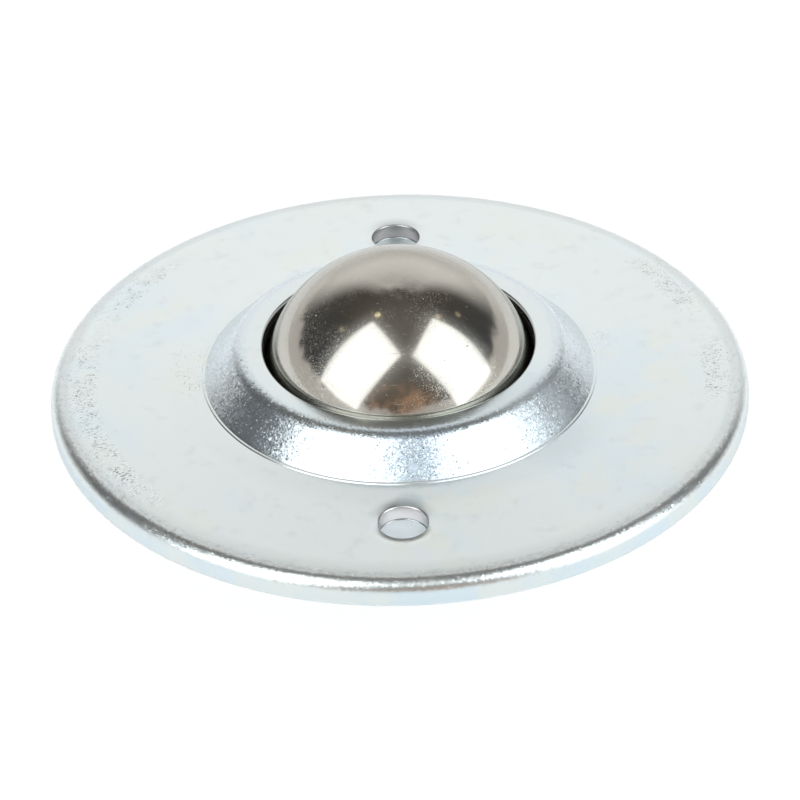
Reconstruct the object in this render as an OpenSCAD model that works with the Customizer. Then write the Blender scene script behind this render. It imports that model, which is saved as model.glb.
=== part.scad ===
// Ball transfer unit with a round dished flange.
//
// A large steel ball rolls on a full layer of small support balls in a spherical cup. Two
// pressings hold them: the top plate, with a dome whose lip keeps the ball in, and the bottom
// plate, whose middle is the cup. The top plate's rim is turned down and rolled in under the
// bottom plate's bevelled edge, and that rolled edge is what the unit seats on.
// The unit bolts down through two holes that pass through both plates.
//
// Frame: origin on the ball's vertical axis, in the plane of the rolled edge that seats on the
// mounting surface. +Z goes up through the ball, and the fixing holes lie along Y.
// Sections are drawn in the plane of radius and height, and revolved about Z.

/* [Balls] */
// Diameter of the main ball
ball_d = 25.4; // [24:0.1:26]
// Height of the main ball's top above the dome's flat ring
ball_proud = 8.3; // [7.9:0.05:8.7]
// Diameter of one support ball
support_d = 4.7625; // [4.5:0.0125:5]
// Rings of support balls, counting the single ball at the bottom of the cup
rings = 5; // [3:1:5]

/* [Flange] */
// Outside diameter of the flange
disc_d = 65; // [60:0.5:72]
// Rise of the dished flange from its rim to the foot of the dome
dish = 0.7; // [0.3:0.05:1.5]
// Sheet thickness of the top plate
sheet_t = 1.5; // [1.3:0.05:1.6]
// Outside radius of the turned-down rim
rim_bend_r = 1.7; // [1.65:0.05:1.9]
// Outside radius at the foot of the rim
foot_r = 0.8; // [0.5:0.05:1]
// How far the rolled edge stands below the bottom plate
seat_drop = 0.1; // [0.05:0.05:0.3]
// Thickness of the rolled edge at its tip
tip_t = 0.35; // [0.25:0.05:0.5]

/* [Dome] */
// Diameter where the dome meets the flange
dome_base_d = 36.5; // [36:0.1:40]
// Diameter of the dome's flat top at its sharp corner
dome_top_d = 30; // [29:0.1:31]
// Height of the dome above its foot
dome_h = 3.4; // [3:0.05:3.8]
// Outside radius of the dome's shoulder
shoulder_r = 1.8; // [1.6:0.05:2.1]
// Outside radius of the hollow at the dome's foot
dome_foot_r = 0.6; // [0.3:0.05:1]
// How much wider the lip's opening is at the top than at the bottom
lip_flare = 0.1; // [0.05:0.05:0.3]
// Rounding of the lip's upper edge
lip_round = 0.25; // [0.1:0.05:0.3]

/* [Cup] */
// Sheet thickness of the bottom plate and its cup
cup_t = 1.2; // [1:0.05:1.4]
// Radius of the bend from the cup to the flange
cup_bend_r = 1.6; // [1.45:0.05:2]
// Size of the bevel that the rolled edge closes on
bevel = 0.85; // [0.7:0.05:0.95]

/* [Fixing holes] */
// Distance between the two holes
hole_pitch = 47; // [44:0.5:50]
// Diameter of each hole
hole_d = 4.5; // [3.5:0.1:5.5]
// Rolled-over edge at the top of each hole
hole_edge = 0.3; // [0.1:0.05:0.4]

/* [Clearances] */
// Running gap between a support ball and the ball or the cup
run_gap = 0.05; // [0.03:0.01:0.08]
// Least gap between two support balls
side_gap = 0.05; // [0.03:0.01:0.1]
// Gap between the main ball and the lip's lower edge
lip_gap = 0.2; // [0.15:0.05:0.3]
// Gap between the two plates
plate_gap = 0.05; // [0.03:0.01:0.08]

/* [Hidden] */
SMOOTH = 96;     // divisions of a full revolution
BEND_STEPS = 6;  // divisions of a bend
CUP_STEPS = 30;  // divisions of the cup's quarter circle
OVER = 1;        // how far a cutter runs past what it cuts
WHOLE = 0.001;   // slack that lets a ring exactly full of balls count as full

ball_r = ball_d / 2;
support_r = support_d / 2;
disc_r = disc_d / 2;
base_r = dome_base_d / 2;
top_r = dome_top_d / 2;
hole_r = hole_d / 2;
hole_at = hole_pitch / 2;

// Heights above the seating plane, from the rim up to the ball.
stack_t = sheet_t + plate_gap + cup_t;
rim_z = stack_t + seat_drop;
base_z = rim_z + dish;
ring_z = base_z + dome_h;
ball_z = ring_z + ball_proud - ball_r;
slope = atan(dish / (disc_r - base_r));

// The lip clears the ball at the height of its lower edge.
lip_low_z = ring_z - sheet_t;
lip_low_r = sqrt(ball_r ^ 2 - (lip_low_z - ball_z) ^ 2) + lip_gap;
lip_top_r = lip_low_r + lip_flare;

// The support balls' centres lie on one sphere, and the cup is concentric with it.
track_r = ball_r + run_gap + support_r;
cup_r = track_r + support_r + run_gap;

// Edges at the rim: the skirt's inner face, the bottom plate's edge and the rolled edge's tip.
skirt_r = disc_r - sheet_t;
edge_r = skirt_r - plate_gap;
edge_low_z = level(edge_r, stack_t);
bevel_drop = plate_gap * sqrt(2);
tip_r = edge_r - bevel + tip_t - edge_low_z + bevel_drop;

// Height of the dished flange at radius r, and at a depth below its upper face.
function flange_z(r) = rim_z + (disc_r - r) * tan(slope);
function level(r, depth) = flange_z(r) - depth / cos(slope);

function unit(v) = v / norm(v);

// Points of an arc about a centre, from one angle to another.
function arc(centre, r, from, to, steps) =
    [for (i = [0:steps]) let (a = from + (to - from) * i / steps) centre + r * [cos(a), sin(a)]];

// Corner b of a line a-b-c, rounded to radius r.
function corner(a, b, c, r) =
    r == 0 ? [b] :
    let (
        u = unit(a - b),
        w = unit(c - b),
        half = acos(u * w) / 2,
        centre = b + unit(u + w) * r / sin(half),
        start = b + u * r / tan(half) - centre,
        finish = b + w * r / tan(half) - centre,
        from = atan2(start.y, start.x)
    )
    arc(centre, r, from, from + atan2(cross(start, finish), start * finish), BEND_STEPS);

// A closed outline of [point, radius] pairs, with each corner rounded.
function rounded(pairs) =
    let (n = len(pairs))
    [for (i = [0:n - 1])
        each corner(pairs[(i + n - 1) % n][0], pairs[i][0], pairs[(i + 1) % n][0], pairs[i][1])];

// Corner b of a sheet's upper face a-b-c, carried down square to the sheet by its thickness.
function under(a, b, c, t) =
    let (
        n1 = unit([(b - a).y, -(b - a).x]),
        n2 = unit([(c - b).y, -(c - b).x])
    )
    b + t * (n1 + n2) / (1 + n1 * n2);

// Support balls: ring k lies k steps up the cup from its bottom. The step is what lets six
// balls stand round the first one, and each ring holds as many as fit with the side gap.
spacing_ratio = (support_d + side_gap) / (2 * track_r);
ring_step = asin(2 * spacing_ratio);
function ring_count(k) =
    k == 0 ? 1 : floor(180 / asin(spacing_ratio / sin(k * ring_step)) + WHOLE);
function ball_name(k, i) = str("support_ball_", k, "_", i < 10 ? "0" : "", i);

// The two holes, each a straight bore, cut through whatever is given.
module fixing_holes() {
    for (side = [-1, 1])
        translate([0, side * hole_at, -OVER])
            cylinder(r = hole_r, h = base_z + 2 * OVER, $fn = SMOOTH);
}

// The punched holes' drawn-in upper edges.
module hole_edges() {
    for (side = [-1, 1])
        translate([0, side * hole_at, flange_z(hole_at) - hole_edge])
            cylinder(r1 = hole_r, r2 = hole_r + hole_edge + OVER, h = hole_edge + OVER, $fn = SMOOTH);
}

// Upper pressing: lip, dome, dished flange, turned-down skirt and rolled edge.
module top_plate() {
    lip = [lip_top_r, ring_z];
    shoulder = [top_r, ring_z];
    foot = [base_r, base_z];
    rim = [disc_r, rim_z];
    section = rounded([
        [[lip_low_r, lip_low_z], 0],
        [lip, lip_round],
        [shoulder, shoulder_r],
        [foot, dome_foot_r],
        [rim, rim_bend_r],
        [[disc_r, 0], foot_r],
        [[tip_r, 0], 0],
        [[tip_r, tip_t], 0],
        [[skirt_r, tip_t + skirt_r - tip_r], 0],
        [[skirt_r, level(skirt_r, sheet_t)], rim_bend_r - sheet_t],
        [under(shoulder, foot, rim, sheet_t), dome_foot_r + sheet_t],
        [under(lip, shoulder, foot, sheet_t), shoulder_r - sheet_t]
    ]);
    color("gainsboro")
        difference() {
            rotate_extrude($fn = SMOOTH) polygon(section);
            fixing_holes();
            hole_edges();
        }
}

// Lower pressing: the cup, the bend at its mouth and the flange that the rim closes on.
module bottom_plate() {
    centre = [0, ball_z];
    flange_depth = sheet_t + plate_gap;
    // The bend is tangent to the cup and to the flange's upper face.
    along = [-cos(slope), sin(slope)];
    down = [-sin(slope), -cos(slope)];
    edge = [edge_r, level(edge_r, flange_depth)];
    q = edge + cup_bend_r * down - centre;
    reach = -q * along - sqrt((q * along) ^ 2 - q * q + (cup_r + cup_bend_r) ^ 2);
    bend = centre + q + reach * along;
    mouth = atan2((bend - centre).y, bend.x);
    up = 90 - slope;
    section = concat(
        arc(centre, cup_r, -90, mouth, CUP_STEPS),
        arc(bend, cup_bend_r, 180 + mouth, up, BEND_STEPS),
        corner(edge + along, edge, [edge_r, 0], rim_bend_r - sheet_t - plate_gap),
        [[edge_r, edge_low_z + bevel], [edge_r - bevel, level(edge_r - bevel, stack_t)]],
        arc(bend, cup_bend_r - cup_t, up, 180 + mouth, BEND_STEPS),
        arc(centre, cup_r + cup_t, mouth, -90, CUP_STEPS)
    );
    color("silver")
        difference() {
            rotate_extrude($fn = SMOOTH) polygon(section);
            fixing_holes();
        }
}

// The ball that carries the load.
module main_ball() {
    color("lightgray")
        translate([0, 0, ball_z])
            sphere(r = ball_r, $fn = SMOOTH);
}

// Support ball i of ring k, turned half a place on from the ring below.
module support_ball(k, i) {
    tilt = k * ring_step;
    turn = (i + (k % 2) / 2) * 360 / ring_count(k);
    color("darkgray")
        translate([0, 0, ball_z])
            translate(track_r * [sin(tilt) * cos(turn), sin(tilt) * sin(turn), -cos(tilt)])
                sphere(r = support_r, $fn = SMOOTH / 2);
}

top_plate();
bottom_plate();
main_ball();
for (k = [0:rings - 1])
    for (i = [0:ring_count(k) - 1])
        support_ball(k, i);
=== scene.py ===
"""Looks for a ball transfer unit: a ball in a dished, zinc-plated flange with two holes."""
import math
import bmesh
import bpy
from mathutils import Matrix, Vector


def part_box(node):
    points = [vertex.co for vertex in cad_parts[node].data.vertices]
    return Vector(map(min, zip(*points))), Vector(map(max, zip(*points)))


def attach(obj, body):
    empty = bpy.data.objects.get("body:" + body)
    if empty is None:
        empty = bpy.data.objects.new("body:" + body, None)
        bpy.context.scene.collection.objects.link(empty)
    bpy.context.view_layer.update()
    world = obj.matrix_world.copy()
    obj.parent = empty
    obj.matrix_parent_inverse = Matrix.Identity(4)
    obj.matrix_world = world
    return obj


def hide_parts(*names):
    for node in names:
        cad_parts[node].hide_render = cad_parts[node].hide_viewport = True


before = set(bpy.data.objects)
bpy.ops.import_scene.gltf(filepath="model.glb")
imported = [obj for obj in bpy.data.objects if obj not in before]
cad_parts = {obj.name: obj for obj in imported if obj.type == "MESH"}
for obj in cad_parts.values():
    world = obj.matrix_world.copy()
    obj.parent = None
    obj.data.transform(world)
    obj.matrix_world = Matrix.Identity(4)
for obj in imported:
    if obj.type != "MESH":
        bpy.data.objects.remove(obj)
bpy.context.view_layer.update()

MM = 0.001

# ---------------------------------------------------------------- sizes, in millimetres
plate_low, plate_high = (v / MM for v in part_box("top_plate"))
ball_low, ball_high = (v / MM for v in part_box("main_ball"))
cup_low, cup_high = (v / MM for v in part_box("bottom_plate"))

disc_r = plate_high.x
edge_r = cup_high.x
ball_r = (ball_high.z - ball_low.z) / 2
ball_z = (ball_high.z + ball_low.z) / 2
ring_z = plate_high.z
seat_z = plate_low.z

# The pressings, as in part.scad
SHEET_T = 1.5          # top plate
CUP_T = 1.2            # bottom plate
PLATE_GAP = 0.05       # between the plates
SEAT_DROP = 0.1        # rolled edge below the bottom plate
DISH = 0.7             # rise of the flange from rim to dome
DOME_BASE_R = 18.25
DOME_TOP_R = 15.0
SHOULDER_R = 1.8
DOME_FOOT_R = 0.6
RIM_BEND_R = 1.7
FOOT_R = 0.8
TIP_T = 0.35
LIP_ROUND = 0.25
LIP_FLARE = 0.1
LIP_GAP = 0.2
BEVEL = 0.85
CUP_BEND_R = 1.6
HOLE_AT = 23.5         # from the ball's axis to each hole's, along Y
HOLE_R = 2.25

# Round the holes
DIMPLE_W = 1.2         # width of the dimple that the punch leaves
DIMPLE_D = 0.15        # its depth
DIMPLE_BEND = 1.9      # how sharply it begins: 1 would be a plain cone
EDGE_R = 0.16          # rounding from the dimple into the bore
SEAM_ROLL = 0.10       # the same rounding in the bottom plate
TORN_OUT = 0.02        # how much wider the bore is where the sheet tore

# At the dome's foot
SWELL_H = 0.05         # how much the flange swells up
SWELL_IN = 18.6        # where the swell begins to fall
SWELL_OUT = 21.6       # where it has died away
SWELL_STEP = 0.08      # step of the section there
LEDGE_H = 0.10         # height of the narrow ledge that the die leaves
LEDGE_W = 0.20         # its width
LEDGE_FALL = 0.12      # its slope
LEDGE_ROUND = 0.08     # rounding from the cone to the ledge
STEP_W = 0.08          # width of the step down from it
STEP_ROUND = 0.03      # rounding at the step's edges

# Towards the rim
DROOP_FROM = 29.2      # where the flange begins to bend down
DROOP_RATE = 0.048     # how fast its slope grows there, per millimetre
CREASE_R = 31.36       # where the rim's rounding begins
TIP_ROUND = 0.06       # rounding at the rolled edge's tip

EDGE_ROUND = 0.15      # rounding at the upper edge of the bottom plate
BEVEL_ROUND = 0.08     # where its bevel begins
BEVEL_END_ROUND = 0.2  # and where it ends

# Steps of the sections
TOP_STEP = 0.5         # longest straight step in the top plate
CUP_STEP = 0.6         # and in the bottom plate
DROOP_STEPS = 60       # along the droop
RIM_STEPS = 24         # round the rim
CUP_ARC = 96           # round the cup
BEND_ARC = 16          # round the bend at its mouth
EDGE_ARC = 6           # round the bottom plate's edges

stack_t = SHEET_T + PLATE_GAP + CUP_T
rim_z = seat_z + stack_t + SEAT_DROP
base_z = rim_z + DISH
slope = math.atan2(DISH, disc_r - DOME_BASE_R)
cup_r = ball_z - cup_low.z - CUP_T


def flange_z(r, depth=0.0):
    """Height of the dished flange at radius r, and at a depth below its upper face."""
    return rim_z + (disc_r - r) * math.tan(slope) - depth / math.cos(slope)


def smooth(t):
    """0 to 1 with level ends."""
    t = min(1.0, max(0.0, t))
    return t * t * (3 - 2 * t)


def face_z(r):
    """Height of the top plate's upper face, with what the press tools leave on it."""
    swell = SWELL_H * (1 - smooth((r - SWELL_IN) / (SWELL_OUT - SWELL_IN)))
    droop = DROOP_RATE * max(0.0, r - DROOP_FROM) ** 2 / 2
    return flange_z(r) + swell - droop


# ---------------------------------------------------------------- sections
def arc(centre, r, start, end, steps):
    """Points of an arc, with its angles in degrees."""
    turn = [math.radians(start + (end - start) * i / steps) for i in range(steps + 1)]
    return [Vector((centre[0] + r * math.cos(a), centre[1] + r * math.sin(a))) for a in turn]


def rounded(a, b, c, r, steps):
    """Corner b of the line a-b-c, rounded to radius r."""
    if r == 0:
        return [b]
    u, w = (a - b).normalized(), (c - b).normalized()
    half = u.angle(w) / 2
    centre = b + (u + w).normalized() * r / math.sin(half)
    p = b + u * r / math.tan(half) - centre
    q = b + w * r / math.tan(half) - centre
    start = math.degrees(math.atan2(p.y, p.x))
    turn = math.degrees(math.atan2(p.x * q.y - p.y * q.x, p.dot(q)))
    return arc(centre, r, start, start + turn, steps)


def outline(corners, steps=12):
    """A chain of (point, radius) corners. Its two end points are kept sharp."""
    points = [Vector(p) for p, _ in corners]
    out = [points[0]]
    for a, b, c, (_, r) in zip(points, points[1:], points[2:], corners[1:]):
        out += rounded(a, b, c, r, steps)
    return out + [points[-1]]


def offset_corner(a, b, c, t):
    """Corner b of a sheet's upper face a-b-c, carried square down through its thickness."""
    n1 = Vector(((b - a).y, -(b - a).x)).normalized()
    n2 = Vector(((c - b).y, -(c - b).x)).normalized()
    return b + t * (n1 + n2) / (1 + n1.dot(n2))


def filled(points, most):
    """The same chain with no straight step longer than `most`."""
    out = [points[0]]
    for a, b in zip(points, points[1:]):
        n = max(1, math.ceil((b - a).length / most))
        out += [a.lerp(b, i / n) for i in range(1, n + 1)]
    return out


# ---------------------------------------------------------------- revolved plates with holes
COLUMNS = 288                                   # steps round the axis
PATCH = 9                                       # half-width of a hole's patch, in steps
STEP = 2 * math.pi * HOLE_AT / COLUMNS          # length of one step at the holes
PATCH_RINGS = 7                                 # rings from the patch's border to the hole's edge
ON_AXIS = 1e-6                                  # a point nearer to the axis than this is on it
SHARP = 35                                      # degrees at which an edge stays sharp


def flange_rows(height):
    """The section's points across the holes, evenly spaced so that a patch fits them."""
    radii = [HOLE_AT + i * STEP for i in range(-PATCH, PATCH + 1)]
    return [Vector((r, height(r))) for r in radii]


def border():
    """Row and column offsets of a patch's border, once round."""
    n = PATCH
    side = range(-n, n)
    return ([(-n, i) for i in side] + [(i, n) for i in side]
            + [(n, -i) for i in side] + [(-i, -n) for i in side])


def new_object(name, bm):
    """An object in the scene, made from a bmesh in metres."""
    mesh = bpy.data.meshes.new(name)
    bm.to_mesh(mesh)
    bm.free()
    obj = bpy.data.objects.new(name, mesh)
    bpy.context.scene.collection.objects.link(obj)
    return obj


def shade_smooth(mesh):
    mesh.polygons.foreach_set("use_smooth", [True] * len(mesh.polygons))


def plate_mesh(name, chain, upper_row, lower_row, upper_z, lower_z, wall):
    """A revolved chain of (r, z) points with two holes bored through its flange.

    upper_row and lower_row are the rows of the chain at the holes' centres. upper_z and
    lower_z give the faces' heights at a radius. wall lists (radius, drop, face) down a hole.
    """
    bm = bmesh.new()
    rows = []
    for p in chain:
        if p.x < ON_AXIS:
            rows.append([bm.verts.new((0, 0, p.y))] * COLUMNS)
            continue
        rows.append([bm.verts.new((p.x * math.cos(t), p.x * math.sin(t), p.y))
                     for t in (2 * math.pi * j / COLUMNS for j in range(COLUMNS))])
    closed = chain[0].x > ON_AXIS
    holes = (COLUMNS // 4, 3 * COLUMNS // 4)

    def in_patch(i, j):
        return any(-PATCH <= i - row < PATCH and -PATCH <= j - column < PATCH
                   for row in (upper_row, lower_row) for column in holes)

    for i in range(len(rows) if closed else len(rows) - 1):
        here, there = rows[i], rows[(i + 1) % len(rows)]
        for j in range(COLUMNS):
            if in_patch(i, j):
                continue
            k = (j + 1) % COLUMNS
            ring = [here[j], here[k], there[k], there[j]]
            bm.faces.new([v for n, v in enumerate(ring) if v not in ring[:n]])

    def loop(places, height):
        return [bm.verts.new((xy.x, xy.y, height(xy.length))) for xy in places]

    steps = border()
    for column in holes:
        centre = Vector((0, HOLE_AT if column == holes[0] else -HOLE_AT))
        outer = [rows[upper_row + a][(column + b) % COLUMNS] for a, b in steps]
        inner = [rows[lower_row - a][(column + b) % COLUMNS] for a, b in steps]
        ways = [(Vector(v.co.xy) - centre).normalized() for v in outer]

        def part_way(edge, radius, share):
            """Places a share of the way from a border to a circle round the hole."""
            return [Vector(v.co.xy).lerp(centre + way * radius, share)
                    for v, way in zip(edge, ways)]

        # the upper face's border, then rings to the hole, down its wall, and out again below
        loops = [outer]
        loops += [loop(part_way(outer, wall[0][0], n / PATCH_RINGS), upper_z)
                  for n in range(1, PATCH_RINGS)]
        loops += [loop([centre + way * radius for way in ways],
                       lambda r, d=drop, z=face_height: z(r) - d)
                  for radius, drop, face_height in wall]
        loops += [loop(part_way(inner, wall[-1][0], n / PATCH_RINGS), lower_z)
                  for n in range(PATCH_RINGS - 1, 0, -1)]
        loops.append(inner)
        for a, b in zip(loops, loops[1:]):
            for n in range(len(a)):
                m = (n + 1) % len(a)
                bm.faces.new((a[n], a[m], b[m], b[n]))
    bmesh.ops.recalc_face_normals(bm, faces=bm.faces)
    bmesh.ops.scale(bm, vec=Vector((MM, MM, MM)), verts=bm.verts)
    obj = new_object(name, bm)
    shade_smooth(obj.data)
    obj.data.set_sharp_from_angle(angle=math.radians(SHARP))
    return obj


def drawn_in(dimple_w, dimple_d, edge_r, steps=8):
    """(radius, drop) pairs of a punched hole's dimple and rounded edge, from the face in."""
    tilt = math.atan2(DIMPLE_BEND * dimple_d, dimple_w) if dimple_w else 0.0
    inner = HOLE_R + edge_r * (1 - math.sin(tilt))
    out = []
    if dimple_w:
        for i in range(steps):
            t = 1 - i / steps
            out.append((inner + dimple_w * t, dimple_d * (1 - t) ** DIMPLE_BEND))
    for i in range(steps + 1):
        a = tilt + (math.pi / 2 - tilt) * i / steps
        out.append((HOLE_R + edge_r * (1 - math.sin(a)),
                    dimple_d + edge_r * (math.cos(tilt) - math.cos(a))))
    return out


def bore_wall(edge, upper_z, lower_z, sheared, widening, burr, burr_w):
    """(radius, drop, face) down a punched hole, from its edge's (radius, drop) pairs.

    It is sheared smooth to a depth, widens over the next bit, and ends in a small burr.
    """
    torn_r = HOLE_R + TORN_OUT
    return [(r, d, upper_z) for r, d in edge] + [
        (HOLE_R, sheared, upper_z), (torn_r, sheared + widening, upper_z),
        (torn_r + TORN_OUT / 2, -burr, lower_z), (HOLE_R + burr_w, 0, lower_z)]


def top_plate():
    """The upper pressing: lip, dome, flange, turned-down rim and rolled edge."""
    def lower_z(r):
        return flange_z(r, SHEET_T)

    lip_low_z = ring_z - SHEET_T
    lip_low_r = math.sqrt(ball_r ** 2 - (lip_low_z - ball_z) ** 2) + LIP_GAP
    skirt_r = disc_r - SHEET_T
    tip_r = edge_r - BEVEL + TIP_T - flange_z(edge_r, stack_t) + PLATE_GAP * math.sqrt(2)
    lip = Vector((lip_low_r + LIP_FLARE, ring_z))
    shoulder = Vector((DOME_TOP_R, ring_z))
    foot = Vector((DOME_BASE_R, base_z))
    rim = Vector((disc_r, rim_z))
    # the cone ends on a narrow ledge, and a step leads down from that to the flange
    lift = LEDGE_H + face_z(DOME_BASE_R) - base_z
    ledge_r = DOME_BASE_R - lift * (DOME_BASE_R - DOME_TOP_R) / (ring_z - base_z)
    ledge = Vector((ledge_r, base_z + lift))
    step = Vector((ledge_r + LEDGE_W, base_z + lift - LEDGE_FALL * LEDGE_W))
    ground_r = ledge_r + LEDGE_W + STEP_W
    ground = Vector((ground_r, face_z(ground_r)))
    upper, lower = flange_rows(face_z), flange_rows(lower_z)[::-1]
    swell = [SWELL_IN + SWELL_STEP * i for i in range(int((upper[0].x - SWELL_IN) / SWELL_STEP))]
    inside = outline([((lip_low_r, lip_low_z), 0), (lip, LIP_ROUND), (shoulder, SHOULDER_R),
                      (ledge, LEDGE_ROUND), (step, STEP_ROUND), (ground, STEP_ROUND),
                      ((SWELL_IN, face_z(SWELL_IN)), 0)])
    inside += [Vector((r, face_z(r))) for r in swell[1:]] + [upper[0]]
    # the flange bends gently down to the crease, then turns on one radius to the vertical
    bent = [upper[-1].x + (CREASE_R - upper[-1].x) * i / DROOP_STEPS
            for i in range(DROOP_STEPS + 1)]
    crease = Vector((CREASE_R, face_z(CREASE_R)))
    back = 0.1
    tilt = math.atan2(face_z(CREASE_R - back) - face_z(CREASE_R), back)
    turn_r = (disc_r - CREASE_R) / (1 - math.sin(tilt))
    turn_at = crease - turn_r * Vector((math.sin(tilt), math.cos(tilt)))
    bend = arc(turn_at, turn_r, 90 - math.degrees(tilt), 0, RIM_STEPS)
    outside = outline([(bend[-1], 0), ((disc_r, seat_z), FOOT_R),
                       ((tip_r, seat_z), TIP_ROUND), ((tip_r, seat_z + TIP_T), TIP_ROUND),
                       ((skirt_r, seat_z + TIP_T + skirt_r - tip_r), TIP_ROUND),
                       ((skirt_r, flange_z(skirt_r, SHEET_T)), RIM_BEND_R - SHEET_T),
                       (lower[0], 0)])
    under = outline([(lower[-1], 0),
                     (offset_corner(shoulder, foot, rim, SHEET_T), DOME_FOOT_R + SHEET_T),
                     (offset_corner(lip, shoulder, foot, SHEET_T), SHOULDER_R - SHEET_T),
                     ((lip_low_r, lip_low_z), 0)])
    chain = filled(inside, TOP_STEP)
    upper_row = len(chain) - 1 + PATCH
    chain += upper[1:]
    chain += [Vector((r, face_z(r))) for r in bent[1:]] + bend[1:]
    chain += filled(outside, TOP_STEP)[1:]
    lower_row = len(chain) - 1 + PATCH
    chain += lower[1:]
    chain += filled(under, TOP_STEP)[1:-1]
    wall = bore_wall(drawn_in(DIMPLE_W, DIMPLE_D, EDGE_R), face_z, lower_z,
                     sheared=1.02, widening=0.06, burr=0.08, burr_w=0.06)
    return plate_mesh("dished_flange", chain, upper_row, lower_row, face_z, lower_z, wall)


def bottom_plate():
    """The lower pressing: the cup, the bend at its mouth and the flange."""
    depth = SHEET_T + PLATE_GAP

    def upper_z(r):
        return flange_z(r, depth)

    def lower_z(r):
        return flange_z(r, stack_t)

    along = Vector((-math.cos(slope), math.sin(slope)))
    down = Vector((-math.sin(slope), -math.cos(slope)))
    centre = Vector((0, ball_z))
    edge = Vector((edge_r, flange_z(edge_r, depth)))
    q = edge + CUP_BEND_R * down - centre
    reach = -q.dot(along) - math.sqrt(q.dot(along) ** 2 - q.dot(q) + (cup_r + CUP_BEND_R) ** 2)
    bend = centre + q + reach * along    # tangent to the cup and to the flange
    mouth = math.degrees(math.atan2(bend.y - centre.y, bend.x))
    up = 90 - math.degrees(slope)
    upper, lower = flange_rows(upper_z), flange_rows(lower_z)[::-1]
    inner = (arc(centre, cup_r, -90, mouth, CUP_ARC)
             + arc(bend, CUP_BEND_R, 180 + mouth, up, BEND_ARC)[1:])
    bevel_end = (edge_r - BEVEL, flange_z(edge_r - BEVEL, stack_t))
    bevel_top = (edge_r, flange_z(edge_r, stack_t) + BEVEL)
    outer = outline([(upper[-1], 0), (edge, EDGE_ROUND), (bevel_top, BEVEL_ROUND),
                     (bevel_end, BEVEL_END_ROUND), (lower[0], 0)], EDGE_ARC)
    back = (arc(bend, CUP_BEND_R - CUP_T, up, 180 + mouth, BEND_ARC)
            + arc(centre, cup_r + CUP_T, mouth, -90, CUP_ARC)[1:])
    inner[0].x = back[-1].x = 0
    chain = filled(inner + [upper[0]], CUP_STEP)
    upper_row = len(chain) - 1 + PATCH
    chain += upper[1:]
    chain += filled(outer, CUP_STEP)[1:]
    lower_row = len(chain) - 1 + PATCH
    chain += lower[1:]
    chain += filled([lower[-1]] + back, CUP_STEP)[1:]
    wall = bore_wall(drawn_in(0, 0, SEAM_ROLL), upper_z, lower_z,
                     sheared=0.7, widening=0.08, burr=0.06, burr_w=0.07)
    return plate_mesh("cup_plate", chain, upper_row, lower_row, upper_z, lower_z, wall)


def main_ball():
    """The load ball."""
    bm = bmesh.new()
    bmesh.ops.create_icosphere(bm, subdivisions=7, radius=ball_r * MM,
                               matrix=Matrix.Translation((0, 0, ball_z * MM)))
    obj = new_object("load_ball", bm)
    shade_smooth(obj.data)
    return obj


# ---------------------------------------------------------------- shader nodes
def node(tree, kind, inputs=None, **settings):
    """A new node with its settings made and its inputs linked or filled in."""
    made = tree.nodes.new(kind)
    for key, value in settings.items():
        setattr(made, key, value)
    for key, value in (inputs or {}).items():
        if isinstance(value, bpy.types.NodeSocket):
            tree.links.new(value, made.inputs[key])
        else:
            made.inputs[key].default_value = value
    return made


def maths(tree, operation, a, b=0.0):
    return node(tree, "ShaderNodeMath", {0: a, 1: b}, operation=operation).outputs[0]


def plus(tree, a, b):
    return maths(tree, "ADD", a, b)


def minus(tree, a, b):
    return maths(tree, "SUBTRACT", a, b)


def times(tree, value, *others):
    """The product of two or more values."""
    for other in others:
        value = maths(tree, "MULTIPLY", value, other)
    return value


def largest(tree, value, *others):
    """The largest of two or more values."""
    for other in others:
        value = maths(tree, "MAXIMUM", value, other)
    return value


def vector(tree, operation, a, b=(0, 0, 0), out="Vector"):
    return node(tree, "ShaderNodeVectorMath", {0: a, 1: b}, operation=operation).outputs[out]


def scaled(tree, a, amount):
    return node(tree, "ShaderNodeVectorMath", {0: a, "Scale": amount},
                operation="SCALE").outputs["Vector"]


def centred(tree, colour):
    """A random colour as a vector about zero."""
    return vector(tree, "SUBTRACT", colour, (0.5, 0.5, 0.5))


def channels(tree, colour):
    """The red, green and blue of a colour."""
    return node(tree, "ShaderNodeSeparateColor", {0: colour}).outputs


def between(tree, value, low, high, to_low=0.0, to_high=1.0):
    """value mapped smoothly from low..high to to_low..to_high, and held beyond."""
    return node(tree, "ShaderNodeMapRange",
                {"Value": value, "From Min": low, "From Max": high,
                 "To Min": to_low, "To Max": to_high},
                interpolation_type="SMOOTHSTEP").outputs["Result"]


def noise(tree, point, scale, detail=3.0, roughness=0.5, out="Fac"):
    return node(tree, "ShaderNodeTexNoise",
                {"Vector": point, "Scale": scale, "Detail": detail, "Roughness": roughness}
                ).outputs[out]


def blend(tree, factor, a, b):
    """Two colours mixed."""
    made = node(tree, "ShaderNodeMix", data_type="RGBA")
    for index, value in ((0, factor), (6, a), (7, b)):
        if isinstance(value, bpy.types.NodeSocket):
            tree.links.new(value, made.inputs[index])
        elif index:
            made.inputs[index].default_value = (*value, 1.0)
        else:
            made.inputs[index].default_value = value
    return made.outputs[2]


def millimetres(tree):
    """The surface point in millimetres, in the piece's own frame."""
    return scaled(tree, node(tree, "ShaderNodeTexCoord").outputs["Object"], 1 / MM)


def radius_of(tree, point):
    """The distance from the ball's vertical axis, in millimetres."""
    flat = vector(tree, "MULTIPLY", point, (1, 1, 0))
    return vector(tree, "LENGTH", flat, out="Value")


def near(tree, point, centre, reach):
    """1 at a centre, falling to 0 at `reach` millimetres from it."""
    gap = vector(tree, "DISTANCE", point, centre, out="Value")
    return between(tree, gap, reach, reach * 0.35)


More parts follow.
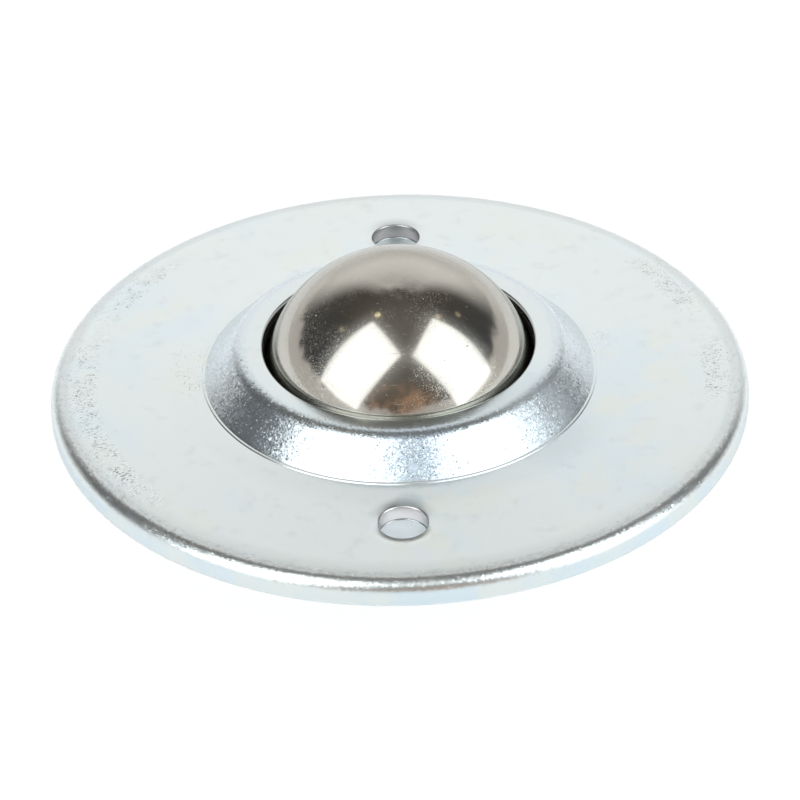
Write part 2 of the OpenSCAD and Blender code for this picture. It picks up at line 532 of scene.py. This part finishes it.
def facets(tree, point, scale):
    """A random slant for each small crystal, of `scale` per millimetre; a few slant more."""
    cells = node(tree, "ShaderNodeTexVoronoi", {"Vector": point, "Scale": scale}).outputs
    steep = maths(tree, "LESS_THAN", channels(tree, cells["Color"])[0], STEEP_SHARE)
    slant = centred(tree, node(tree, "ShaderNodeTexWhiteNoise", {"Vector": cells["Position"]}
                               ).outputs["Color"])
    return scaled(tree, slant, plus(tree, SLANT, times(tree, steep, STEEP_SLANT - SLANT)))


def dots(tree, point, scale, size, share):
    """Small round pits: cells of `scale` per millimetre, of which about `share` hold one.

    Gives the pits' mask and the slant of their walls.
    """
    cells = node(tree, "ShaderNodeTexVoronoi", {"Vector": point, "Scale": scale}).outputs
    chosen = maths(tree, "LESS_THAN", channels(tree, cells["Color"])[0], share)
    mask = times(tree, chosen, between(tree, cells["Distance"], size, size * 0.5))
    inward = vector(tree, "SUBTRACT", cells["Position"], point)
    return mask, scaled(tree, scaled(tree, inward, scale / size), mask)


def new_material(name):
    """A metal: its material, node tree and shader."""
    material = bpy.data.materials.new(name)
    material.use_nodes = True
    tree = material.node_tree
    tree.nodes.clear()
    shader = node(tree, "ShaderNodeBsdfPrincipled", {"Metallic": 1.0})
    node(tree, "ShaderNodeOutputMaterial", {"Surface": shader.outputs[0]})
    return material, tree, shader


# ---------------------------------------------------------------- zinc plate
SLANT = 0.085          # how much a crystal of the plating slants
STEEP_SLANT = 0.26     # and one of the few that glitter
STEEP_SHARE = 0.10     # how many those are
GRAIN_FLAT = 0.06      # strength of the grain on plain sheet, where stretched metal has 1
GRAIN_PLAIN = 0.35     # and on the bottom plate

BLUED = (0.745, 0.835, 0.90)        # the plating's tint on stretched metal
BLUEST = (0.72, 0.85, 0.99)         # at the dome's front
RIM_SHADE_GREY = (0.75, 0.795, 0.805)     # at the rim, where it is duller; its darker grey is painted shade
SKIRT_BLUE_SHADED = (0.655, 0.75, 0.80)    # its pale interference colours below the rim, darkened as painted shade
SKIRT_STRAW_SHADED = (0.72, 0.765, 0.75)
PIT = (0.30, 0.31, 0.31)
SHEARED = (0.70, 0.685, 0.69)       # the front hole's wall
SHEARED_BACK_SHADE = (0.52, 0.51, 0.51)   # and the back hole's, darker as painted shade
LIP_GAP_SHADE = (0.12, 0.115, 0.105)         # the lip's torn wall, painted near black as the shade in the gap round the ball
LIP_SHADE_RADII = (12.66, 12.59)           # radii where that painted shade begins, and where it is darkest

# Patches where the plating is pitted: centres and reaches, in millimetres
WORN = (((-20.2, 0.5, 3.0), 7.5), ((-15.6, -3.0, 6.0), 6.0), ((-30.2, -1.5, 2.2), 14.0),
        ((-26.0, 15.5, 2.2), 10.0), ((-26.5, -14.0, 2.2), 9.0), ((17.5, 3.5, 5.0), 5.5),
        ((30.6, 0.0, 2.0), 7.5), ((27.0, 15.0, 2.2), 9.0), ((-11.0, 12.5, 6.0), 5.0))
PITS = ((2.9, 0.26, 0.50), (5.0, 0.34, 0.55))   # as for dots()
# Single patches on the dome and beside the front hole
BLUE_AT, BLUE_REACH = (1.2, -17.0, 5.4), 6.0
DULL_AT, DULL_REACH = (13.0, -10.5, 5.2), 7.0
SCUFF_AT, SCUFF_REACH = (0.6, -20.9, 3.7), 1.9


def clouded(tree, point, radius, colour, tooled):
    """Slow drifts of blue and straw, and soft grey smears: the tone, and the smears' mask."""
    cloud = noise(tree, point, 0.075, 2.0, 0.6)
    drift = channels(tree, noise(tree, point, 0.13, 3.0, 0.55, "Color"))
    bluish = (colour[0] * 0.955, colour[1] * 0.995, colour[2] * 1.03)
    straw = (colour[0] * 1.01, colour[1], colour[2] * 0.96)
    tone = blend(tree, between(tree, cloud, 0.48, 0.66), colour, bluish)
    strawy = between(tree, drift[0], 0.54, 0.70)
    if tooled:    # more straw towards the rim
        rimward = times(tree, between(tree, radius, 25.0, 30.0),
                        between(tree, drift[1], 0.46, 0.62, 0.0, 0.6))
        strawy = largest(tree, strawy, rimward)
    tone = blend(tree, strawy, tone, straw)
    smear = between(tree, noise(tree, point, 0.55, 4.0, 0.6), 0.52, 0.80)
    grey = tuple(c * 0.72 for c in colour)
    return blend(tree, times(tree, smear, 0.14), tone, grey), smear


def grain(tree, point):
    """The slant of small crystals in the plating, over finer ones and low lumps."""
    slant = vector(tree, "ADD", facets(tree, point, 6.0), facets(tree, point, 10.0))
    lumps = centred(tree, noise(tree, point, 1.6, 2.0, 0.5, "Color"))
    return vector(tree, "ADD", slant, scaled(tree, lumps, 0.06))


def stretched(tree, point, radius, tone, level, slant):
    """The metal that the press stretched, on the dome and at the rim: bluer and grainier, but at
    the rim a darker grey, which is painted shade.
    """
    rim = between(tree, radius, 30.3, 31.2)
    dome = between(tree, radius, DOME_BASE_R + 0.05, DOME_BASE_R - 0.45)
    flat_top = between(tree, radius, DOME_TOP_R - 0.4, DOME_TOP_R - 1.1)
    strength = minus(tree, largest(tree, dome, times(tree, rim, 0.8)),
                     times(tree, flat_top, 0.92))
    strength = plus(tree, GRAIN_FLAT, times(tree, strength, 1 - GRAIN_FLAT))
    blued = times(tree, strength, 0.7)
    # at the rim the tint turns to a darker grey: painted shade
    tone = blend(tree, blued, tone, blend(tree, rim, BLUED, RIM_SHADE_GREY))
    level = plus(tree, level, times(tree, strength, 0.06))
    level = plus(tree, level, times(tree, rim, 0.05))
    blue = near(tree, point, BLUE_AT, BLUE_REACH)
    tone = blend(tree, times(tree, blue, blued), tone, BLUEST)
    dull = near(tree, point, DULL_AT, DULL_REACH)
    level = plus(tree, level, times(tree, dull, 0.13))
    return tone, level, scaled(tree, slant, strength)


def pitted(tree, point, radius, tone, slant):
    """Pits in broken patches near the rim and the dome's foot, and short pulls at the rim."""
    worn = largest(tree, *(near(tree, point, centre, reach) for centre, reach in WORN))
    by_rim = between(tree, radius, 27.4, 28.8)
    by_dome = times(tree, between(tree, radius, 22.0, 20.6), between(tree, radius, 14.0, 14.8))
    broken = between(tree, noise(tree, point, 0.8, 2.0, 0.6), 0.34, 0.56)
    worn = times(tree, worn, largest(tree, by_rim, by_dome), broken)
    for pits in PITS:
        pit, wall = dots(tree, point, *pits)
        tone = blend(tree, times(tree, pit, worn, 0.24), tone, PIT)
        slant = vector(tree, "ADD", slant, scaled(tree, wall, times(tree, worn, 0.8)))
    # the pulls: noise drawn out along the radius, 165 steps to a radian and 2.8 to a millimetre
    way = vector(tree, "NORMALIZE", vector(tree, "MULTIPLY", point, (1, 1, 0)))
    along = node(tree, "ShaderNodeCombineXYZ", {"Z": times(tree, radius, 2.8)}).outputs[0]
    polar = vector(tree, "ADD", scaled(tree, way, 165.0), along)
    pulls = centred(tree, noise(tree, polar, 1.0, 1.0, 0.5, "Color"))
    band = times(tree, between(tree, radius, 27.6, 28.6), between(tree, radius, 30.8, 29.8))
    return tone, vector(tree, "ADD", slant, scaled(tree, pulls, times(tree, band, worn, 1.1)))


def worked(tree, point, radius, tone, level):
    """The scuff by the front hole, the skirt's colours, the holes' walls and the torn lip, with
    painted shade on the skirt, the back hole's wall and the lip's wall.
    """
    place = node(tree, "ShaderNodeSeparateXYZ", {0: point}).outputs
    scuff = near(tree, point, SCUFF_AT, SCUFF_REACH)
    level = plus(tree, level, times(tree, scuff, 0.15))
    # the lower skirt takes pale interference colours, darkened as painted shade
    skirt = times(tree, between(tree, radius, disc_r - 0.4, disc_r - 0.15),
                  between(tree, place["Z"], rim_z - 0.75, rim_z - 1.05))
    hue = channels(tree, noise(tree, point, 0.2, 2.0, 0.5, "Color"))[1]
    tone = blend(tree, skirt, tone,
                 blend(tree, between(tree, hue, 0.38, 0.66), SKIRT_BLUE_SHADED, SKIRT_STRAW_SHADED))
    across = vector(tree, "MULTIPLY", vector(tree, "ABSOLUTE", point), (1, 1, 0))
    from_hole = vector(tree, "DISTANCE", across, (0, HOLE_AT, 0), out="Value")
    sheared = between(tree, from_hole, HOLE_R + 0.08, HOLE_R + 0.04)
    # the holes' walls take the sheared colour, the back one darker as painted shade
    tone = blend(tree, sheared, tone,
                 blend(tree, between(tree, place["Y"], -5, 5), SHEARED, SHEARED_BACK_SHADE))
    level = plus(tree, level, times(tree, sheared, 0.08))
    # painted shade: the lip's torn wall goes near black in the gap round the ball
    gap_shade = times(tree, between(tree, radius, *LIP_SHADE_RADII),
                 between(tree, place["Z"], ring_z - 0.3, ring_z - 0.7))
    tone = blend(tree, gap_shade, tone, LIP_GAP_SHADE)
    return tone, plus(tree, level, times(tree, gap_shade, 0.3))


def zinc(name, colour, rough, tooled):
    """Bright zinc plate on pressed sheet: cloudy, faintly coloured, finely grained and pitted.

    tooled: with the zones that the top plate has, of stretched, pitted and sheared metal.
    """
    material, tree, shader = new_material(name)
    point = millimetres(tree)
    radius = radius_of(tree, point)
    tone, smear = clouded(tree, point, radius, colour, tooled)
    level = plus(tree, rough, times(tree, smear, 0.08))
    slant = grain(tree, point)
    if tooled:
        tone, level, slant = stretched(tree, point, radius, tone, level, slant)
        tone, slant = pitted(tree, point, radius, tone, slant)
        tone, level = worked(tree, point, radius, tone, level)
    else:
        slant = scaled(tree, slant, GRAIN_PLAIN)
    face = node(tree, "ShaderNodeNewGeometry").outputs["Normal"]
    tree.links.new(tone, shader.inputs["Base Color"])
    tree.links.new(level, shader.inputs["Roughness"])
    tree.links.new(vector(tree, "NORMALIZE", vector(tree, "ADD", face, slant)),
                   shader.inputs["Normal"])
    return material


# ---------------------------------------------------------------- polished steel
EDGE_TINT = (0.82, 0.82, 0.82)      # how steel reflects at a glancing angle
NICK = (0.22, 0.20, 0.18)
RELIEF = 0.018 * MM                 # depth of the nicks
HAIRLINE_TURNS = ((0.3, 1.1, 0.2), (1.2, 0.4, 2.0), (2.1, 2.6, 0.9))
NICKS = ((0.8, 0.08, 0.14), (1.7, 0.11, 0.10), (3.3, 0.16, 0.05))   # as for dots()


def hairline(tree, point, turn):
    """Thin lines, all in one direction."""
    spun = node(tree, "ShaderNodeMapping", {"Vector": point, "Rotation": turn,
                                            "Scale": (0.35, 9.0, 9.0)}).outputs[0]
    return between(tree, noise(tree, spun, 1.0, 1.0, 0.5), 0.74, 0.80)


def polished(name, colour, rough):
    """Polished bearing steel with hairlines, nicks and a faint haze."""
    material, tree, shader = new_material(name)
    point = millimetres(tree)
    lines = largest(tree, *(hairline(tree, point, turn) for turn in HAIRLINE_TURNS))
    nicks = largest(tree, *(dots(tree, point, *nick)[0] for nick in NICKS))
    cloudy = between(tree, noise(tree, point, 0.30, 4.0, 0.6), 0.38, 0.72)
    # micro-pits, which glitter beside a highlight
    rough_patch = between(tree, noise(tree, point, 0.22, 3.0, 0.6), 0.42, 0.66)
    glitter = between(tree, noise(tree, point, 8.0, 2.0, 0.7), 0.56, 0.70)
    glitter = times(tree, glitter, plus(tree, 0.25, rough_patch))
    tone = blend(tree, times(tree, cloudy, 0.5), colour, tuple(c * 0.94 for c in colour))
    tone = blend(tree, times(tree, nicks, 0.6), tone, NICK)
    level = plus(tree, rough, times(tree, cloudy, 0.045))
    level = plus(tree, level, times(tree, lines, 0.12))
    level = plus(tree, level, times(tree, nicks, 0.25))
    height = minus(tree, times(tree, nicks, -1.0), times(tree, lines, 0.12))
    height = minus(tree, height, times(tree, glitter, 0.22))
    bump = node(tree, "ShaderNodeBump", {"Height": height, "Strength": 1.0,
                                         "Distance": RELIEF})
    shader.inputs["Specular Tint"].default_value = (*EDGE_TINT, 1.0)
    tree.links.new(tone, shader.inputs["Base Color"])
    tree.links.new(level, shader.inputs["Roughness"])
    tree.links.new(bump.outputs[0], shader.inputs["Normal"])
    return material


plate_zinc = zinc("zinc_plate", (0.815, 0.875, 0.887), 0.20, tooled=True)
# the bottom plate's zinc is darker than the top plate's: painted shade under the flange
cup_zinc_shaded = zinc("zinc_cup_shaded", (0.62, 0.66, 0.67), 0.26, tooled=False)
ball_steel = polished("polished_steel", (0.565, 0.545, 0.497), 0.08)
small_steel = polished("support_steel", (0.60, 0.59, 0.57), 0.09)

# ---------------------------------------------------------------- pieces
for make, material, body, cad_node, slot in (
        (top_plate, plate_zinc, "housing", "top_plate", "zinc_plated_steel"),
        (bottom_plate, cup_zinc_shaded, "housing", "bottom_plate", "zinc_plated_cup"),
        (main_ball, ball_steel, "ball", "main_ball", "polished_ball")):
    piece = make()
    piece.data.materials.append(material)
    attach(piece, body)
    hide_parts(cad_node)

for name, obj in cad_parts.items():
    if name.startswith("support_ball"):
        obj.data.materials.clear()
        obj.data.materials.append(small_steel)

# ---------------------------------------------------------------- floor, light and camera
FLOOR_SIZE = 4.0       # metres
PALE = (0.86, 0.87, 0.88)
LIT_FLOOR = 0.5        # how bright its own diffuse light makes it, far off
LIT_NEAR = 0.68        # and near the object
SEEN_SHADE = 0.15      # how much of its light and shadow the camera sees, the rest being white
MIRRORED_SHADE = 1.25  # and how much of them metal shows


def stage_floor():
    """A pale floor under the cup, which shows white with the object's faint shadow."""
    bm = bmesh.new()
    bmesh.ops.create_grid(bm, x_segments=1, y_segments=1, size=FLOOR_SIZE / 2,
                          matrix=Matrix.Translation((0, 0, cup_low.z * MM)))
    floor = new_object("floor", bm)
    material = bpy.data.materials.new("pale_floor")
    material.use_nodes = True
    tree = material.node_tree
    tree.nodes.clear()

    def white(share, lit_to):
        """Plain white that keeps a share of the floor's own light and shadow."""
        faint = node(tree, "ShaderNodeBsdfDiffuse", {"Color": (*(c * share for c in PALE), 1)})
        glow = node(tree, "ShaderNodeEmission",
                    {"Color": (1, 1, 1, 1), "Strength": 1.0 - lit_to * share})
        return node(tree, "ShaderNodeAddShader", {0: faint.outputs[0], 1: glow.outputs[0]}
                    ).outputs[0]

    path = node(tree, "ShaderNodeLightPath").outputs
    mirrored = largest(tree, path["Is Glossy Ray"], path["Is Transmission Ray"])
    seen = largest(tree, path["Is Camera Ray"], mirrored)
    lit = node(tree, "ShaderNodeBsdfDiffuse", {"Color": (*PALE, 1)}).outputs[0]
    plain = node(tree, "ShaderNodeMixShader", {0: mirrored, 1: white(SEEN_SHADE, LIT_FLOOR),
                                               2: white(MIRRORED_SHADE, LIT_NEAR)}).outputs[0]
    mix = node(tree, "ShaderNodeMixShader", {0: seen, 1: lit, 2: plain})
    node(tree, "ShaderNodeOutputMaterial", {"Surface": mix.outputs[0]})
    floor.data.materials.append(material)


stage_floor()


def heading(azimuth, elevation):
    """A direction: its azimuth is from the camera's side and towards its right, in degrees."""
    a, e = math.radians(azimuth), math.radians(elevation)
    return Vector((math.sin(a) * math.cos(e), -math.cos(a) * math.cos(e), math.sin(e)))


# Softboxes: the way to the middle, the way that their width runs, and width and height
# as shares of the distance
SOFTBOXES = (("softbox_left", heading(-47.2, 40.0), Vector((0.538, -0.82, -0.193)), 0.81, 1.22),
             ("softbox_right", heading(62.4, 34.4), Vector((-0.362, -0.919, -0.154)), 0.82, 1.20))
SOFTBOX_GLOW = 1.6     # brightness of a softbox's cloth, painted in the world
HALO = 0.17            # and of the haze round it
HALO_W = 0.34          # width of the haze, as a share of the distance
CLOTH_EDGE = 0.035     # half-width of the cloth's soft edge
LAMP_GLOW = 0.4        # brightness of the lamp in the softbox's middle
LAMP_SHARE = 0.75      # how much of its width and height the lamp takes
LAMP_AT = 0.9          # metres from the ball
ball_centre = Vector((0, 0, ball_z * MM))

# The white sweep behind: elevation in degrees and brightness
SWEEP = ((0, 0.70), (13, 0.84), (24, 1.0), (32, 0.96), (38, 0.90), (44, 0.80), (50, 0.68),
         (56, 0.47), (62, 0.17), (69, 0.0))
SWEEP_AT = 2.0         # degrees that its middle stands to the right of straight behind
SWEEP_SIDES = (58, 25)  # degrees from its middle where it ends, and where it is at its full
SWEEP_RAGGED = 60.0    # how much its upper end wanders, in degrees
SWEEP_WHITE = (1.0, 0.995, 0.98)

# The room: dim and warm, cooler at the sides
ROOM = (0.114, 0.102, 0.087)
ROOM_SIDES = (0.086, 0.09, 0.094)
CEILING = (0.24, 0.228, 0.21)
BLOT = (0.05, 0.047, 0.044)
WOOD = (0.52, 0.33, 0.22)
TABLE = (0.68, 0.665, 0.64)

# Small warm lamps far off: azimuth, elevation and brightness
SPECKS = ((-103, 75, 1.0), (-94, 47, 0.35), (100, 60, 0.4), (111, 44, 0.25))
SPECK_REACH = (2.6, 0.9)            # degrees where one begins, and where it is at its full
SPECK_GLOW = (1.9, 1.6, 1.05)


def square_to(way, across):
    """across made square to way, and the third direction."""
    side = (across - way * across.dot(way)).normalized()
    return side, way.cross(side)


for name, way, across, width, height in SOFTBOXES:
    side, tall = square_to(way, across)
    lamp = bpy.data.lights.new(name, "AREA")
    lamp.shape = "RECTANGLE"
    lamp.size = width * LAMP_AT * LAMP_SHARE
    lamp.size_y = height * LAMP_AT * LAMP_SHARE
    lamp.energy = 4 * LAMP_GLOW * lamp.size * lamp.size_y
    obj = bpy.data.objects.new(name, lamp)
    turn = Matrix((side, tall, way)).transposed().to_4x4()
    obj.matrix_world = Matrix.Translation(ball_centre + way * LAMP_AT) @ turn
    bpy.context.scene.collection.objects.link(obj)


def degrees(tree, value):
    return times(tree, value, 180 / math.pi)


def towards(tree, way, direction):
    """The cosine of the angle between the way looked in and a direction."""
    return vector(tree, "DOT_PRODUCT", way, tuple(direction), out="Value")


def room(tree, way, side, elevation):
    """The dim room: lighter overhead, wood low in front, and the pale table's far edge."""
    colour = blend(tree, between(tree, side, 0.35, 0.95), ROOM, ROOM_SIDES)
    colour = blend(tree, between(tree, towards(tree, way, heading(0, 62)), 0.55, 1.0),
                   colour, CEILING)
    colour = blend(tree, times(tree, noise(tree, way, 3.0, 3.0, 0.6), 0.45), colour, BLOT)
    low_front = times(tree, between(tree, towards(tree, way, heading(2, 8)), 0.80, 0.97),
                      between(tree, elevation, 38, 20))
    planks = between(tree, noise(tree, way, 6.0, 3.0, 0.6), 0.43, 0.57)
    wood = times(tree, low_front, plus(tree, 0.15, times(tree, planks, 0.75)))
    colour = blend(tree, wood, colour, WOOD)
    # the table's edge is low all round, and shows higher at the sides
    wavy = minus(tree, noise(tree, way, 5.0, 3.0, 0.6), 0.5)
    lowness = plus(tree, minus(tree, elevation, times(tree, side, 8.0)),
                   times(tree, wavy, 22.0))
    return blend(tree, between(tree, lowness, 8.0, 2.5), colour, TABLE)


def sweep(tree, way, part, elevation):
    """How much the sweep behind covers: it dims upwards, narrows and ends unevenly."""
    from_back = degrees(tree, maths(tree, "ARCTAN2", part["X"], part["Y"]))
    off_back = maths(tree, "ABSOLUTE", minus(tree, from_back, SWEEP_AT))
    uneven = times(tree, minus(tree, noise(tree, way, 4.0, 3.0, 0.55), 0.5), SWEEP_RAGGED,
                   between(tree, elevation, 46, 58))
    ramp = node(tree, "ShaderNodeValToRGB",
                {"Fac": maths(tree, "DIVIDE", plus(tree, elevation, uneven), 90.0)})
    stops = ramp.color_ramp.elements
    for height, light in SWEEP:
        if height == SWEEP[0][0]:
            stop = stops[0]
        elif height == SWEEP[-1][0]:
            stop = stops[-1]
        else:
            stop = stops.new(height / 90)
        stop.position = height / 90
        stop.color = (light, light, light, 1)
    narrowed = maths(tree, "DIVIDE", off_back, between(tree, elevation, 20, 66, 1.0, 0.62))
    return times(tree, between(tree, narrowed, *SWEEP_SIDES), ramp.outputs["Color"])


def softbox_light(tree, way, middle, across, width, height, soft, glow):
    """One softbox's light, with its edge spread out by `soft`."""
    side, tall = square_to(middle, across)
    ahead = towards(tree, way, middle)
    u, v = (maths(tree, "ABSOLUTE", maths(tree, "DIVIDE", towards(tree, way, axis), ahead))
            for axis in (side, tall))
    lit = times(tree, between(tree, u, width / 2 + soft, width / 2 - CLOTH_EDGE),
                between(tree, v, height / 2 + soft, height / 2 - CLOTH_EDGE),
                maths(tree, "GREATER_THAN", ahead, 0.3), glow)
    return node(tree, "ShaderNodeCombineXYZ", {0: times(tree, lit, 0.96), 1: lit,
                                               2: times(tree, lit, 1.02)}).outputs[0]


def studio_world():
    """A white sweep behind, two softboxes in front, a dim warm room, and white to the camera."""
    world = bpy.data.worlds.new("studio")
    bpy.context.scene.world = world
    world.use_nodes = True
    tree = world.node_tree
    tree.nodes.clear()
    way = node(tree, "ShaderNodeTexCoord").outputs["Generated"]
    part = node(tree, "ShaderNodeSeparateXYZ", {0: way}).outputs
    elevation = degrees(tree, maths(tree, "ARCSINE", part["Z"]))
    colour = room(tree, way, maths(tree, "ABSOLUTE", part["X"]), elevation)
    colour = blend(tree, sweep(tree, way, part, elevation), colour, SWEEP_WHITE)
    for azimuth, height, glow in SPECKS:
        spot = between(tree, towards(tree, way, heading(azimuth, height)),
                       *(math.cos(math.radians(reach)) for reach in SPECK_REACH))
        colour = blend(tree, times(tree, spot, glow), colour, SPECK_GLOW)
    for _, *box in SOFTBOXES:
        for soft, glow in ((HALO_W, HALO), (CLOTH_EDGE, SOFTBOX_GLOW)):
            colour = vector(tree, "ADD", colour, softbox_light(tree, way, *box, soft, glow))
    path = node(tree, "ShaderNodeLightPath").outputs
    lit = node(tree, "ShaderNodeBackground", {"Color": colour, "Strength": 1.0})
    white = node(tree, "ShaderNodeBackground", {"Color": (1, 1, 1, 1), "Strength": 1.0})
    mix = node(tree, "ShaderNodeMixShader", {0: path["Is Camera Ray"], 1: lit.outputs[0],
                                             2: white.outputs[0]})
    node(tree, "ShaderNodeOutputWorld", {"Surface": mix.outputs[0]})


studio_world()

CAMERA_AT = 0.6        # metres from the ball's centre
CAMERA_UP = 34.4       # degrees above the horizon
CAMERA_ROLL = 1.52     # degrees, which lifts the right side of the view
AIM_BELOW = 1.84 * MM  # how far below the ball's centre the view is centred
VIEW_WIDTH = 74.5 * MM  # width of the view at the ball
SENSOR = 36.0          # millimetres
NEAREST = 0.01         # metres from the camera


def place_camera():
    """The camera on the photograph's side, aimed a little below the ball's centre."""
    data = bpy.data.cameras.new("camera")
    data.sensor_width = SENSOR
    data.lens = SENSOR * CAMERA_AT / VIEW_WIDTH
    data.clip_start = NEAREST
    camera = bpy.data.objects.new("camera", data)
    bpy.context.scene.collection.objects.link(camera)
    bpy.context.scene.camera = camera
    backward = heading(0, CAMERA_UP)
    place = ball_centre + backward * CAMERA_AT
    upward = (Vector((0, 0, 1)) - backward * backward.z).normalized()
    look_back = (place - (ball_centre - upward * AIM_BELOW)).normalized()
    right = Vector((0, 0, 1)).cross(look_back).normalized()
    upright = look_back.cross(right)
    c, s = math.cos(math.radians(CAMERA_ROLL)), math.sin(math.radians(CAMERA_ROLL))
    axes = Matrix((right * c - upright * s, upright * c + right * s, look_back)).transposed()
    camera.matrix_world = Matrix.Translation(place) @ axes.to_4x4()


place_camera()

bpy.context.scene.view_settings.view_transform = "Standard"
